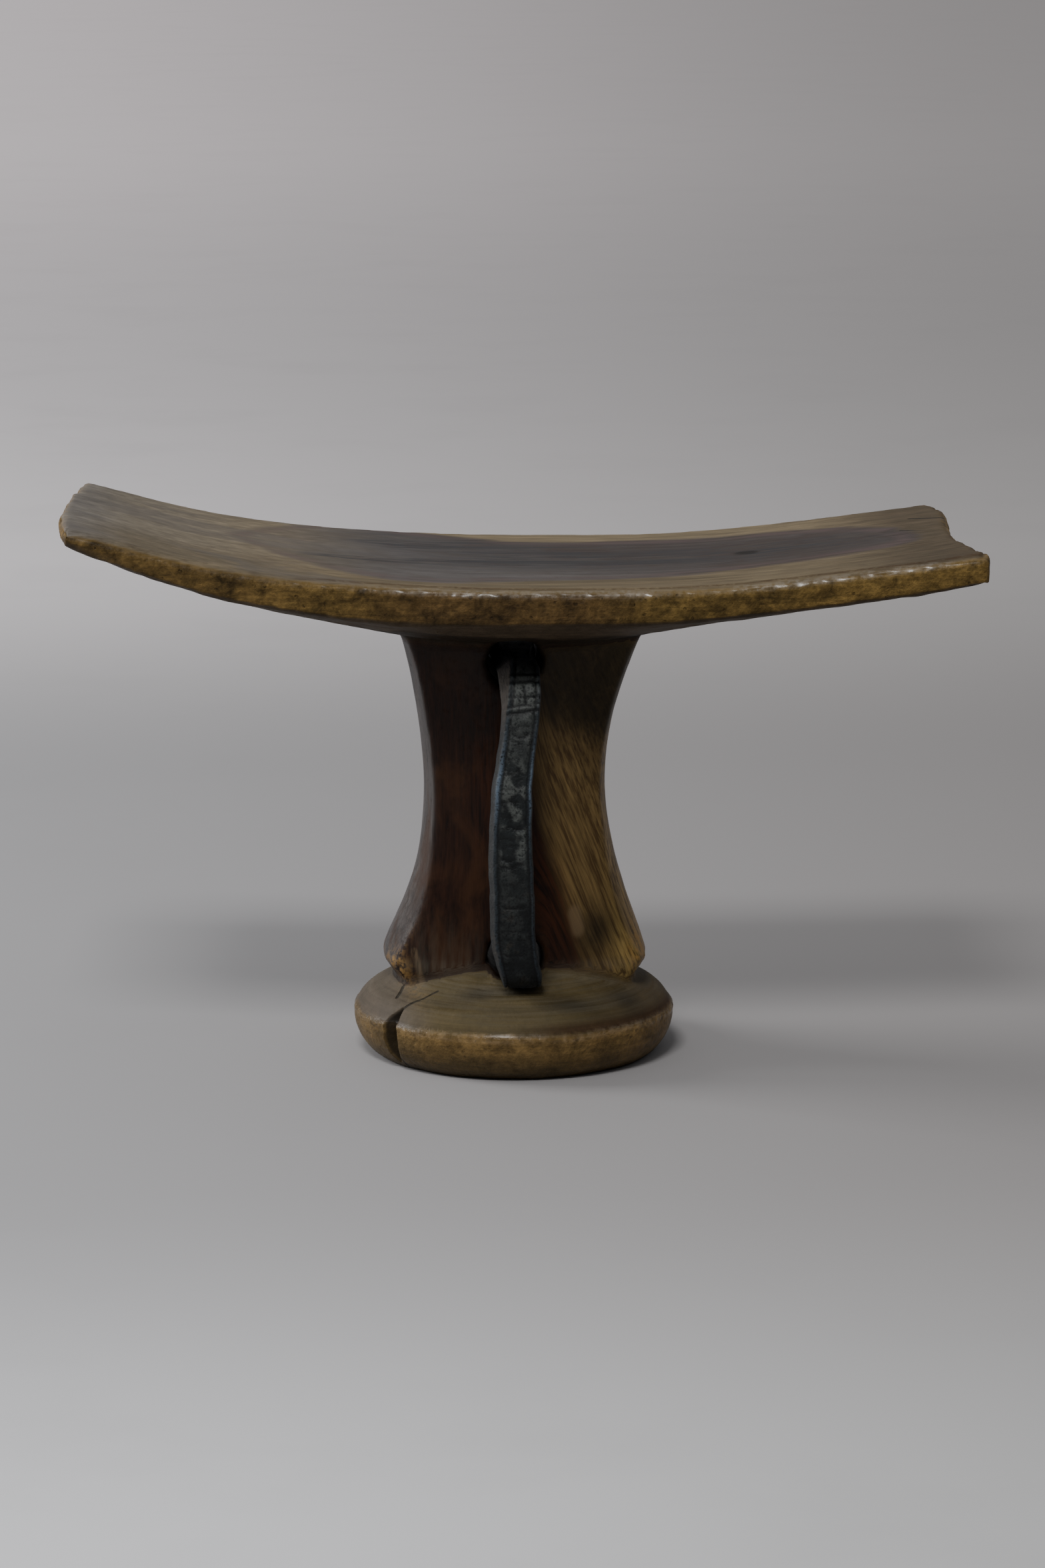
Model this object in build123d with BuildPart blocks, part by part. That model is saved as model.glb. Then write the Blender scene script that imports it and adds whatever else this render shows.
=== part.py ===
from build123d import *

import os

# A carved wooden neck rest: a dished rest on a waisted pillar and a round, domed foot, all one
# piece of wood, with a leather carrying strap that runs through two holes in the pillar.
# Millimetres. The origin is the centre of the foot's underside; +X runs along the rest,
# +Z is up, and the strap's handle is on the -Y side.

# ---------------------------------------------------------------- driving dimensions
REST_DEPTH = 106.0              # front to back at the ends of the rest
REST_REAR_BOW = 3.5             # how much deeper the middle is, at the back
REST_HALF_LENGTH = 131.0
REST_EDGE_INSET = 2.0           # how far the underside's edge stands in from the edge above it
EDGE_ROUNDING = 3.0             # the worn upper edge of the rest

FOOT_RADIUS = 46.9              # at the widest ring of the foot
FOOT_RING_HEIGHT = 12.5         # height of that ring
FOOT_BASE_RADIUS = 40.5         # flat underside

HOLE_X = -0.9
UPPER_HOLE_HEIGHT = 118.6
UPPER_HOLE_HALF_SIZE = (7.7, 7.5)   # half width and half height
LOWER_HOLE_HEIGHT = 32.0
LOWER_HOLE_HALF_SIZE = (8.1, 6.6)
HOLE_REACH = 60.0               # longer than the pillar is deep

STRAP_THICKNESS = 4.0
STRAP_WIDTH = 13.2              # at the handle's middle
STRAP_LEG_WIDTH = 11.4          # where the strap goes into the holes
HINGE_Y = -19.0                 # the strap bends here, just inside the mouths of both holes
BEND_GAP = 2.4                  # length of leather that does the bending, left open in the solids
HANDLE_REACH = 39.6             # how far the handle's middle stands out from the pillar's centre
HANDLE_LEAN = 2.1               # how far the handle's middle stands to the left of the holes
UPPER_LEG_SHIFT = 0.5           # the upper leg lies towards the right of its hole
BACK_RUN_Y = 27.3               # where the strap's two ends meet behind the pillar
LAYER_GAP = 0.1                 # between those two layers
OVERLAP_FOOT = 55.0
OVERLAP_TOP = 91.0

THONG_WIDTH = 2.6
THONG_THICKNESS = 1.2
STITCH_HEIGHTS = (64.0, 73.0, 82.0)
STITCH_HALF_SPACING = 2.9
SLIT_SLACK = 0.4

os.makedirs("parts", exist_ok=True)


# ---------------------------------------------------------------- the rest
# One row for each station along the rest: x, height of the upper face, height of the lower
# edge, and how far the underside sags below that edge in the middle of the depth.
REST_STATIONS = (
    (-REST_HALF_LENGTH, 163.0, 158.6, 0.4),
    (-110.0, 157.8, 150.0, 2.0),
    (-82.0, 151.2, 141.6, 4.5),
    (-50.0, 147.2, 136.2, 7.5),
    (-26.0, 145.5, 134.2, 10.5),
    (0.0, 144.6, 133.7, 11.5),
    (26.0, 144.4, 133.7, 10.5),
    (50.0, 144.9, 134.6, 7.0),
    (82.0, 147.5, 137.8, 4.6),
    (110.0, 150.8, 141.4, 3.4),
    (REST_HALF_LENGTH, 153.8, 144.8, 2.5),
)


def rest_section(x, top, edge, sag):
    """A slice across the rest: flat above, rounded upper edges, a bellied underside."""
    front = -REST_DEPTH / 2
    rear = REST_DEPTH / 2 + REST_REAR_BOW * (1 - (x / REST_HALF_LENGTH) ** 2)
    middle = (front + rear) / 2
    lower_front = front + REST_EDGE_INSET
    lower_rear = rear - REST_EDGE_INSET
    shoulder = top - EDGE_ROUNDING
    with BuildSketch(Plane.YZ.offset(x)) as section:
        with BuildLine():
            Line((lower_front, edge), (front, shoulder))
            RadiusArc((front, shoulder), (front + EDGE_ROUNDING, top), EDGE_ROUNDING * 1.1)
            Line((front + EDGE_ROUNDING, top), (rear - EDGE_ROUNDING, top))
            RadiusArc((rear - EDGE_ROUNDING, top), (rear, shoulder), EDGE_ROUNDING * 1.1)
            Line((rear, shoulder), (lower_rear, edge))
            ThreePointArc((lower_rear, edge), (middle, edge - sag), (lower_front, edge))
        make_face()
    return section.sketch


# ---------------------------------------------------------------- the pillar
# Rows of height, half width, half depth, sideways offset, and the share of the half width at
# which the front arris stands. The first rows are the skirt's undercut, from the foot up to
# its lip, and the others run from the lip up into the rest.
SKIRT_SECTIONS = (
    (18.0, 30.5, 23.4, 0.3, 0.95),
    (23.5, 34.9, 23.4, 0.3, 0.93),
    (28.8, 38.9, 23.2, 0.2, 0.94),
)
PILLAR_SECTIONS = (
    (28.8, 38.9, 23.2, 0.2, 0.94),
    (34.0, 37.3, 22.9, 0.0, 0.89),
    (42.0, 34.1, 22.2, 0.4, 0.86),
    (54.0, 29.9, 21.0, 0.8, 0.87),
    (66.0, 27.5, 20.0, 0.6, 0.90),
    (78.0, 26.4, 19.5, 0.3, 0.91),
    (94.0, 27.4, 19.7, 0.3, 0.92),
    (108.0, 30.2, 20.5, 0.9, 0.93),
    (120.0, 33.6, 21.8, 1.7, 0.94),
    (132.0, 37.6, 23.4, 2.2, 0.94),
)
ARRIS_DEPTH_SHARE = 0.70        # how deep the arris stands, as a share of the half depth


def pillar_section(height, half_width, half_depth, offset, arris_share):
    """An oval slice with a broad curved front and back, narrow sides and four soft arrises."""
    arris_x = half_width * arris_share
    arris_y = half_depth * ARRIS_DEPTH_SHARE
    front_right = (offset + arris_x, -arris_y)
    rear_right = (offset + arris_x, arris_y)
    rear_left = (offset - arris_x, arris_y)
    front_left = (offset - arris_x, -arris_y)
    with BuildSketch(Plane.XY.offset(height)) as section:
        with BuildLine():
            ThreePointArc(front_left, (offset, -half_depth), front_right)
            ThreePointArc(front_right, (offset + half_width, 0), rear_right)
            ThreePointArc(rear_right, (offset, half_depth), rear_left)
            ThreePointArc(rear_left, (offset - half_width, 0), front_left)
        make_face()
    return section.sketch


with BuildPart() as rest:
    for station in REST_STATIONS:
        add(rest_section(*station))
    loft()
    # The two ends seen from above: the left one a little convex, the right one wavy.
    beyond = REST_DEPTH / 2 + 2 * REST_REAR_BOW
    with BuildSketch(Plane.XY) as rest_plan:
        with BuildLine():
            left_end = Spline(
                (-124.5, beyond), (-126.6, 45.0), (-128.9, 12.0), (-130.5, -15.0), (-129.4, -46.0), (-127.5, -beyond)
            )
            right_end = Spline(
                (128.8, -beyond), (130.6, -43.0), (128.6, -27.0), (127.3, -9.0),
                (128.4, 8.0), (130.6, 30.0), (129.6, 46.0), (124.0, beyond),
            )
            Line(left_end @ 1, right_end @ 0)
            Line(right_end @ 1, left_end @ 0)
        make_face()
    extrude(amount=300, mode=Mode.INTERSECT)

with BuildPart() as pillar:
    for slice_of_pillar in PILLAR_SECTIONS:
        add(pillar_section(*slice_of_pillar))
    loft()

with BuildPart() as skirt:
    for slice_of_skirt in SKIRT_SECTIONS:
        add(pillar_section(*slice_of_skirt))
    loft()

# ---------------------------------------------------------------- the foot
with BuildPart() as foot:
    with BuildSketch(Plane.XZ) as foot_profile:
        with BuildLine():
            Line((0, 0), (FOOT_BASE_RADIUS, 0))
            underside = ThreePointArc(
                (FOOT_BASE_RADIUS, 0), (FOOT_BASE_RADIUS + 5.0, 5.6), (FOOT_RADIUS, FOOT_RING_HEIGHT)
            )
            shoulder = ThreePointArc(underside @ 1, (FOOT_RADIUS - 2.6, 17.2), (FOOT_RADIUS - 8.6, 20.9))
            dome = ThreePointArc(shoulder @ 1, (30.0, 25.2), (20.0, 28.6))
            Line(dome @ 1, (0, 28.6))
            Line((0, 28.6), (0, 0))
        make_face()
    revolve(axis=Axis.Z)

# ---------------------------------------------------------------- the carved body, one piece
SPLIT_ANGLE = 217.6             # where the rim of the foot has split, in degrees from +X
SPLIT_WIDTH = 4.4
SPLIT_DEPTH = 8.5

with BuildPart() as carved_body:
    add(rest.part)
    add(pillar.part)
    add(skirt.part)
    add(foot.part)
    for hole_height, hole_half_size in (
        (UPPER_HOLE_HEIGHT, UPPER_HOLE_HALF_SIZE),
        (LOWER_HOLE_HEIGHT, LOWER_HOLE_HALF_SIZE),
    ):
        with BuildSketch(Plane.XZ):
            with Locations((HOLE_X, hole_height)):
                Ellipse(*hole_half_size)
        extrude(amount=HOLE_REACH, both=True, mode=Mode.SUBTRACT)
    # The split: a wedge open at the rim and closing towards the pillar.
    split_plane = Plane.XY.rotated((0, 0, SPLIT_ANGLE))
    with BuildSketch(split_plane):
        with BuildLine():
            Polyline(
                (FOOT_RADIUS - SPLIT_DEPTH, 0),
                (FOOT_RADIUS + 3, SPLIT_WIDTH / 2),
                (FOOT_RADIUS + 3, -SPLIT_WIDTH / 2),
                close=True,
            )
        make_face()
    extrude(amount=30, mode=Mode.SUBTRACT)

carved_body.part.label = "carved_body"
export_step(carved_body.part, "parts/carved_body.step")

# ---------------------------------------------------------------- the strap
# Side views of the strap's middle line, as (y, z) corners with the radius of the bend at each.
UPPER_LEG_HEIGHT = UPPER_HOLE_HEIGHT - 0.6
LOWER_LEG_HEIGHT = LOWER_HOLE_HEIGHT - 0.4
HANDLE_ROUTE = (
    (HINGE_Y, UPPER_LEG_HEIGHT),
    (-34.5, 114.6),
    (-HANDLE_REACH, 70.0),
    (-36.8, 30.4),
    (HINGE_Y, LOWER_LEG_HEIGHT),
)
HANDLE_BENDS = (9.0, 160.0, 6.5)

with BuildPart() as strap_handle:
    with BuildSketch(Plane.YZ) as handle_side:
        with BuildLine():
            FilletPolyline(*HANDLE_ROUTE, radius=HANDLE_BENDS)
        trace(line_width=STRAP_THICKNESS)
    extrude(amount=STRAP_WIDTH, both=True)
    # Seen from the front the handle is narrower at both ends and leans to the left between them.
    with BuildSketch(Plane.XZ) as handle_front:
        with BuildLine():
            half_leg = STRAP_LEG_WIDTH / 2
            half_strap = STRAP_WIDTH / 2
            handle_top = UPPER_LEG_HEIGHT + STRAP_THICKNESS
            handle_foot = LOWER_LEG_HEIGHT - STRAP_THICKNESS
            handle_middle = (handle_top + handle_foot) / 2
            left_side = ThreePointArc(
                (HOLE_X - half_leg + UPPER_LEG_SHIFT, handle_top),
                (HOLE_X - half_strap - HANDLE_LEAN, handle_middle),
                (HOLE_X - half_leg, handle_foot),
            )
            right_side = ThreePointArc(
                (HOLE_X + half_leg, handle_foot),
                (HOLE_X + half_strap - HANDLE_LEAN, handle_middle),
                (HOLE_X + half_leg + UPPER_LEG_SHIFT, handle_top),
            )
            Line(left_side @ 1, right_side @ 0)
            Line(right_side @ 1, left_side @ 0)
        make_face()
    extrude(amount=HOLE_REACH, both=True, mode=Mode.INTERSECT)

strap_handle.part.label = "strap_handle"
export_step(strap_handle.part, "parts/strap_handle.step")

# Behind the pillar the strap's two ends lie one over the other: the lower end against the
# pillar, the upper end outside it.
LOWER_END_Y = BACK_RUN_Y - (STRAP_THICKNESS + LAYER_GAP) / 2
UPPER_END_Y = BACK_RUN_Y + (STRAP_THICKNESS + LAYER_GAP) / 2
BACK_LEG_START = HINGE_Y + BEND_GAP
UPPER_END_ROUTE = (
    (BACK_LEG_START, UPPER_LEG_HEIGHT),
    (UPPER_END_Y - 2.0, UPPER_LEG_HEIGHT - 1.0),
    (UPPER_END_Y, 96.0),
    (UPPER_END_Y, OVERLAP_FOOT),
)
UPPER_END_BENDS = (7.0, 40.0)
LOWER_END_ROUTE = (
    (BACK_LEG_START, LOWER_LEG_HEIGHT),
    (LOWER_END_Y, LOWER_LEG_HEIGHT),
    (LOWER_END_Y, OVERLAP_TOP),
)
LOWER_END_BENDS = (5.0,)

with BuildPart() as strap_back:
    with BuildSketch(Plane.YZ) as upper_end_side:
        with BuildLine():
            FilletPolyline(*UPPER_END_ROUTE, radius=UPPER_END_BENDS)
        trace(line_width=STRAP_THICKNESS)
    with BuildSketch(Plane.YZ) as lower_end_side:
        with BuildLine():
            FilletPolyline(*LOWER_END_ROUTE, radius=LOWER_END_BENDS)
        trace(line_width=STRAP_THICKNESS)
    extrude(amount=STRAP_WIDTH, both=True)
    with BuildSketch(Plane.XZ) as back_outline:
        with Locations((HOLE_X, (OVERLAP_TOP + OVERLAP_FOOT) / 2)):
            Rectangle(STRAP_LEG_WIDTH, FOOT_RADIUS * 3)
    extrude(amount=HOLE_REACH, both=True, mode=Mode.INTERSECT)
    # A slit on each side for every stitch of the thong, through both layers.
    with BuildSketch(Plane.XZ.offset(-BACK_RUN_Y)):
        for stitch_height in STITCH_HEIGHTS:
            with Locations((HOLE_X, stitch_height)):
                with GridLocations(2 * STITCH_HALF_SPACING, 1, 2, 1):
                    Rectangle(THONG_THICKNESS + SLIT_SLACK, THONG_WIDTH + SLIT_SLACK)
    extrude(amount=3 * STRAP_THICKNESS, both=True, mode=Mode.SUBTRACT)

strap_back.part.label = "strap_back"
export_step(strap_back.part, "parts/strap_back.step")

# ---------------------------------------------------------------- the lacing
LACING_INNER_Y = LOWER_END_Y - STRAP_THICKNESS / 2 - LAYER_GAP
LACING_OUTER_Y = UPPER_END_Y + STRAP_THICKNESS / 2 + LAYER_GAP
STITCH_HALF_WIDTH = STITCH_HALF_SPACING + THONG_THICKNESS / 2
KNOT_RADIUS = 2.3
KNOT_CENTRE = (HOLE_X - STITCH_HALF_SPACING, LACING_OUTER_Y + KNOT_RADIUS, STITCH_HEIGHTS[0] - 2.6)
TAIL_LENGTH = 13.0
TAIL_ANGLES = (-9.0, 14.0)

with BuildPart() as strap_lacing:
    # Each stitch is a flat ring of thong through its two slits, seen here from above.
    for stitch_height in STITCH_HEIGHTS:
        with BuildSketch(Plane.XY.offset(stitch_height)):
            with Locations((HOLE_X, (LACING_INNER_Y + LACING_OUTER_Y) / 2)):
                Rectangle(
                    2 * STITCH_HALF_WIDTH,
                    LACING_OUTER_Y - LACING_INNER_Y + 2 * THONG_THICKNESS,
                )
                Rectangle(
                    2 * (STITCH_HALF_WIDTH - THONG_THICKNESS),
                    LACING_OUTER_Y - LACING_INNER_Y,
                    mode=Mode.SUBTRACT,
                )
        extrude(amount=THONG_WIDTH / 2, both=True)
    # Outside, the thong crosses from one stitch up to the next.
    with BuildSketch(Plane.XZ.offset(-LACING_OUTER_Y)):
        for lower, upper in zip(STITCH_HEIGHTS, STITCH_HEIGHTS[1:]):
            with BuildLine():
                left_x = HOLE_X - STITCH_HALF_WIDTH
                right_x = HOLE_X + STITCH_HALF_WIDTH
                Polyline(
                    (left_x, lower - THONG_WIDTH / 2),
                    (left_x, lower + THONG_WIDTH / 2),
                    (right_x, upper + THONG_WIDTH / 2),
                    (right_x, upper - THONG_WIDTH / 2),
                    close=True,
                )
            make_face()
    extrude(amount=-THONG_THICKNESS)
    # The thong ends in a knot below the lowest stitch, with two short tails.
    with Locations(KNOT_CENTRE):
        Sphere(KNOT_RADIUS)
    for tail_angle in TAIL_ANGLES:
        tail_plane = Plane(origin=KNOT_CENTRE, x_dir=(1, 0, 0), z_dir=(0, 1, 0)).rotated((0, tail_angle, 0))
        with BuildSketch(tail_plane):
            with Locations((0, TAIL_LENGTH / 2)):
                Rectangle(THONG_WIDTH, TAIL_LENGTH)
        extrude(amount=THONG_THICKNESS / 2, both=True)

strap_lacing.part.label = "strap_lacing"
export_step(strap_lacing.part, "parts/strap_lacing.step")
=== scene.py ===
import math

import bmesh
import bpy
import numpy as np
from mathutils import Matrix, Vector


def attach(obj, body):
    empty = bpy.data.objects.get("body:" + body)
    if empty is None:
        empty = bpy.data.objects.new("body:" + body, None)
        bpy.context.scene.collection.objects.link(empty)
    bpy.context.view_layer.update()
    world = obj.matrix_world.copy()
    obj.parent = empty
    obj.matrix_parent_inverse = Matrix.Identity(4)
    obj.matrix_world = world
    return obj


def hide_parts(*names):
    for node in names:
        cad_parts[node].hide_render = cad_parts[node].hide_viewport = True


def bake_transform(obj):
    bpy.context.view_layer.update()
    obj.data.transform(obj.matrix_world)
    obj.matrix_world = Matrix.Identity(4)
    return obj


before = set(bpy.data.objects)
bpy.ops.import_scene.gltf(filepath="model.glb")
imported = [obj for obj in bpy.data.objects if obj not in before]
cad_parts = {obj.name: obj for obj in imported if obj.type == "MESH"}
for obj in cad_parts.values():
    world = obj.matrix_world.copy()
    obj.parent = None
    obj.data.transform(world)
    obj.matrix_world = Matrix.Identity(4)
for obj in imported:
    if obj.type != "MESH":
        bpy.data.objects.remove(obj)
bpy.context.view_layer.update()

MM = 0.001      # shapes below are worked out in millimetres


# ================================================================ numbers and noise
def ease(low, high, value):
    """0 before low, 1 after high and smooth between them. low may be the larger."""
    t = np.clip((value - low) / (high - low), 0, 1)
    return t * t * (3 - 2 * t)


def lattice(points, seed):
    """Smooth noise from -1 to 1, one cell per unit."""
    cell = np.floor(points).astype(np.int64)
    part = points - cell
    eased = part ** 3 * (part * (part * 6 - 15) + 10)
    total = np.zeros(len(points))
    for corner in np.ndindex(2, 2, 2):
        key = cell + corner
        mixed = key[:, 0] * 374761393 + key[:, 1] * 668265263 + key[:, 2] * 1274126177 + seed * 974711
        mixed = (mixed ^ (mixed >> 13)) * 1103515245
        mixed = (mixed ^ (mixed >> 16)) & 0xFFFF
        weight = np.prod(np.where(corner, eased, 1 - eased), axis=1)
        total += weight * (mixed / 32767.5 - 1)
    return total


def fractal(x, y, z, seed, octaves=3):
    points = np.stack(np.broadcast_arrays(x, y, z), axis=1).astype(float)
    total, weight = np.zeros(len(points)), 1.0
    for octave in range(octaves):
        total += weight * lattice(points * 2 ** octave, seed + 17 * octave)
        weight *= 0.5
    return total


def patch(x, y, centre, size, turn=0.0):
    """A soft oval patch, 1 in its middle. turn is in degrees."""
    c, s = math.cos(math.radians(turn)), math.sin(math.radians(turn))
    dx, dy = x - centre[0], y - centre[1]
    along, across = dx * c + dy * s, dy * c - dx * s
    return np.exp(-((along / size[0]) ** 2 + (across / size[1]) ** 2))


def patches(x, y, *rows):
    """Soft oval patches added up. A row is the strength, centre, size and turn of one."""
    return sum(strength * patch(x, y, *row) for strength, *row in rows)


def full_turn(count):
    return np.linspace(0, 2 * math.pi, count, endpoint=False)


def distance_along(points):
    """How far along a line of points each of them is."""
    return np.concatenate(([0], np.cumsum(np.linalg.norm(np.diff(points, axis=0), axis=1))))


def softened(outline, rounds=2):
    """A closed outline with its corners cut, rounds times over."""
    points = np.array(outline, float)
    for _ in range(rounds):
        after = np.roll(points, -1, axis=0)
        points = np.stack((points * 0.75 + after * 0.25, points * 0.25 + after * 0.75), axis=1).reshape(-1, 2)
    return points


def inside_distance(x, y, outline):
    """Distance from points to a closed outline, positive inside it."""
    points = np.stack((x, y), axis=1)
    nearest = np.full(len(points), 1e9)
    inside = np.zeros(len(points), bool)
    for start, end in zip(outline, np.roll(outline, -1, axis=0)):
        side = end - start
        share = np.clip(((points - start) @ side) / (side @ side), 0, 1)
        nearest = np.minimum(nearest, np.linalg.norm(points - start - share[:, None] * side, axis=1))
        crossed = (start[1] > y) != (end[1] > y)
        with np.errstate(divide="ignore", invalid="ignore"):
            at = start[0] + (y - start[1]) * side[0] / side[1]
        inside ^= crossed & (x < at)
    return np.where(inside, nearest, -nearest)


def relaxed(values, edges, rounds, share=0.5):
    """values averaged with their neighbours along the mesh's edges."""
    values = values.astype(float)
    flat = values.reshape(len(values), -1).copy()
    count = np.bincount(edges.ravel(), minlength=len(flat))[:, None]
    for _ in range(rounds):
        total = np.stack([
            np.bincount(edges[:, 0], flat[edges[:, 1], k], len(flat))
            + np.bincount(edges[:, 1], flat[edges[:, 0], k], len(flat))
            for k in range(flat.shape[1])
        ], axis=1)
        flat += share * (total / np.maximum(count, 1) - flat)
    return flat.reshape(values.shape)


def through(rows, step):
    """A smooth line through rows of numbers, with a row about every step. The first two numbers
    of a row are its place, and the others are carried along smoothly."""
    rows = np.array(rows, float)
    padded_rows = np.vstack((2 * rows[0] - rows[1], rows, 2 * rows[-1] - rows[-2]))
    made = []
    for k in range(1, len(padded_rows) - 2):
        a, b, c, d = padded_rows[k - 1:k + 3]
        ta, tb, tc = (max(np.linalg.norm(q[:2] - p[:2]), 1e-6) ** 0.5 for p, q in ((a, b), (b, c), (c, d)))
        start_slope = (b - a) / ta - (c - a) / (ta + tb) + (c - b) / tb
        end_slope = (c - b) / tb - (d - b) / (tb + tc) + (d - c) / tc
        for t in np.arange(0, 1, step / max(np.linalg.norm(c[:2] - b[:2]), step)):
            from_b, to_c = 2 * t ** 3 - 3 * t ** 2 + 1, -2 * t ** 3 + 3 * t ** 2
            leaving, arriving = t ** 3 - 2 * t ** 2 + t, t ** 3 - t ** 2
            made.append(from_b * b + leaving * tb * start_slope + to_c * c + arriving * tb * end_slope)
    made.append(rows[-1])
    return np.array(made)


# ================================================================ meshes
def put_in_scene(name, data):
    obj = bpy.data.objects.new(name, data)
    bpy.context.scene.collection.objects.link(obj)
    return obj


def make_mesh(name, places, faces, closed=False):
    """A smooth mesh from places in millimetres. closed turns its faces outwards."""
    mesh = bpy.data.meshes.new(name)
    mesh.from_pydata((np.asarray(places) * MM).tolist(), [], faces)
    mesh.validate()
    if closed:
        turned = bmesh.new()
        turned.from_mesh(mesh)
        bmesh.ops.recalc_face_normals(turned, faces=turned.faces)
        turned.to_mesh(mesh)
        turned.free()
    mesh.shade_smooth()
    return put_in_scene(name, mesh)


def store(mesh, name, values):
    """Keeps a number, or three, for each vertex, for the material to read."""
    values = np.asarray(values, np.float32)
    kind, field = ("FLOAT", "value") if values.ndim == 1 else ("FLOAT_VECTOR", "vector")
    mesh.attributes.new(name, kind, "POINT").data.foreach_set(field, values.ravel())


def store_share(mesh, name, values):
    """Keeps values limited to between 0 and 1."""
    store(mesh, name, np.clip(values, 0, 1))


def read_mesh(mesh):
    """Vertices in millimetres, their normals and the edges."""
    count = len(mesh.vertices)
    places, normals = np.zeros(count * 3), np.zeros(count * 3, np.float32)
    edges = np.zeros(len(mesh.edges) * 2, np.int64)
    mesh.vertices.foreach_get("co", places)
    mesh.vertex_normals.foreach_get("vector", normals)
    mesh.edges.foreach_get("vertices", edges)
    return places.reshape(-1, 3) / MM, normals.reshape(-1, 3).astype(float), edges.reshape(-1, 2)


def write_places(mesh, places):
    mesh.vertices.foreach_set("co", (places * MM).astype(np.float32).ravel())
    mesh.update()


# ================================================================ node building
class Graph:
    """A material and short ways to build its nodes."""

    def __init__(self, name):
        self.material = bpy.data.materials.new(name)
        self.material.use_nodes = True
        self.tree = self.material.node_tree
        self.shader = self.tree.nodes["Principled BSDF"]
        self.colour = None

    def node(self, kind, **settings):
        made = self.tree.nodes.new("ShaderNode" + kind)
        for key, value in settings.items():
            setattr(made, key, value)
        return made

    def feed(self, source, socket):
        if isinstance(source, (int, float)):
            socket.default_value = source
        elif isinstance(source, tuple):
            socket.default_value = source + (1.0,) * (len(socket.default_value) - len(source))
        else:
            self.tree.links.new(source, socket)

    def math(self, operation, first, second=0.0):
        made = self.node("Math", operation=operation)
        self.feed(first, made.inputs[0])
        self.feed(second, made.inputs[1])
        return made.outputs[0]

    def times(self, *values):
        out = values[0]
        for value in values[1:]:
            out = self.math("MULTIPLY", out, value)
        return out

    def plus(self, *values):
        out = values[0]
        for value in values[1:]:
            out = self.math("ADD", out, value)
        return out

    def vector(self, operation, first, second=(0.0, 0.0, 0.0)):
        made = self.node("VectorMath", operation=operation)
        self.feed(first, made.inputs[0])
        self.feed(second, made.inputs[1])
        return made.outputs["Value" if operation in ("LENGTH", "DOT_PRODUCT") else "Vector"]

    def mix(self, share, first, second):
        made = self.node("Mix", data_type="RGBA")
        self.feed(share, made.inputs[0])
        self.feed(first, made.inputs[6])
        self.feed(second, made.inputs[7])
        return made.outputs[2]

    def paint(self, tint, *shares):
        """Lays tint over the colour so far, as strongly as shares multiplied say."""
        self.colour = self.mix(self.times(*shares), self.colour, tint)

    def span(self, value, low, high, out_low=0.0, out_high=1.0):
        """value's way from low to high, eased, as a number from out_low to out_high."""
        made = self.node("MapRange", interpolation_type="SMOOTHSTEP")
        for source, socket in zip((value, low, high, out_low, out_high), made.inputs):
            self.feed(source, socket)
        return made.outputs[0]

    def noise(self, place, scale, detail=3.0, roughness=0.5, distortion=0.0):
        made = self.node("TexNoise")
        self.feed(place, made.inputs["Vector"])
        values = (scale, detail, roughness, distortion)
        for name, value in zip(("Scale", "Detail", "Roughness", "Distortion"), values):
            made.inputs[name].default_value = value
        return made.outputs["Fac"]

    def cells(self, place, scale):
        made = self.node("TexVoronoi")
        self.feed(place, made.inputs["Vector"])
        made.inputs["Scale"].default_value = scale
        return made.outputs["Distance"]

    def kept(self, name, output="Fac"):
        return self.node("Attribute", attribute_name=name).outputs[output]

    def near_line(self, place, start, end, width):
        """1 on the line from start to end, 0 farther from it than width."""
        a, b = Vector(start), Vector(end)
        along = (b - a).normalized()
        offset = self.vector("SUBTRACT", place, tuple(a))
        reach = self.math("MAXIMUM", self.vector("DOT_PRODUCT", offset, tuple(along)), 0.0)
        reach = self.math("MINIMUM", reach, (b - a).length)
        way = self.node("VectorMath", operation="SCALE")
        way.inputs[0].default_value = along
        self.feed(reach, way.inputs["Scale"])
        gap = self.vector("LENGTH", self.vector("SUBTRACT", offset, way.outputs["Vector"]))
        return self.span(gap, width, width * 0.35)

    def bump(self, height, distance, strength=1.0):
        """height is a number of millimetres times distance."""
        made = self.node("Bump")
        made.inputs["Strength"].default_value = strength
        made.inputs["Distance"].default_value = distance * MM
        self.feed(height, made.inputs["Height"])
        self.tree.links.new(made.outputs[0], self.shader.inputs["Normal"])

    def finish(self, roughness):
        self.feed(self.colour, self.shader.inputs["Base Color"])
        self.feed(roughness, self.shader.inputs["Roughness"])
        return self.material


# ================================================================ the carved body
BODY_VOXEL = 1.22

# Holes through the pillar: height, half width and half height, all round the same upright line.
HOLE_X = -0.9
HOLES = ((118.6, 7.7, 7.5), (32.0, 8.1, 6.6))
SPLIT_ANGLE = math.radians(216.7)
SPLIT_START, SPLIT_HALF_WIDTH = 42.4, 3.1
SPLIT_TOP = 24          # the foot's part near the split is below this height
FOOT_RADIUS = 46.9

# Where the dark heartwood shows on the rest, seen from above.
HEART_PLAN = (
    (119, -2), (112, 17), (95, 31), (76, 37), (56, 37), (36, 39), (19, 36), (4, 37), (-11, 45), (-26, 52),
    (-46, 62), (-62, 52), (-76, 38), (-90, 14), (-82, 0), (-71, -14), (-58, -27), (-42, -41), (-28, -45),
    (-7, -40), (11, -37), (31, -35), (50, -31), (65, -27), (81, -24), (93, -22), (106, -19), (115, -14),
)
# The heartwood's right-hand border on the pillar's front: height and x.
HEART_BORDER = (
    (20, 18.5), (31, 17.3), (39, 15.8), (51, 12.6), (61, 9.6), (70, 7.0), (88, 4.5), (104, 4.0), (126, 4.0),
)

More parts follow.
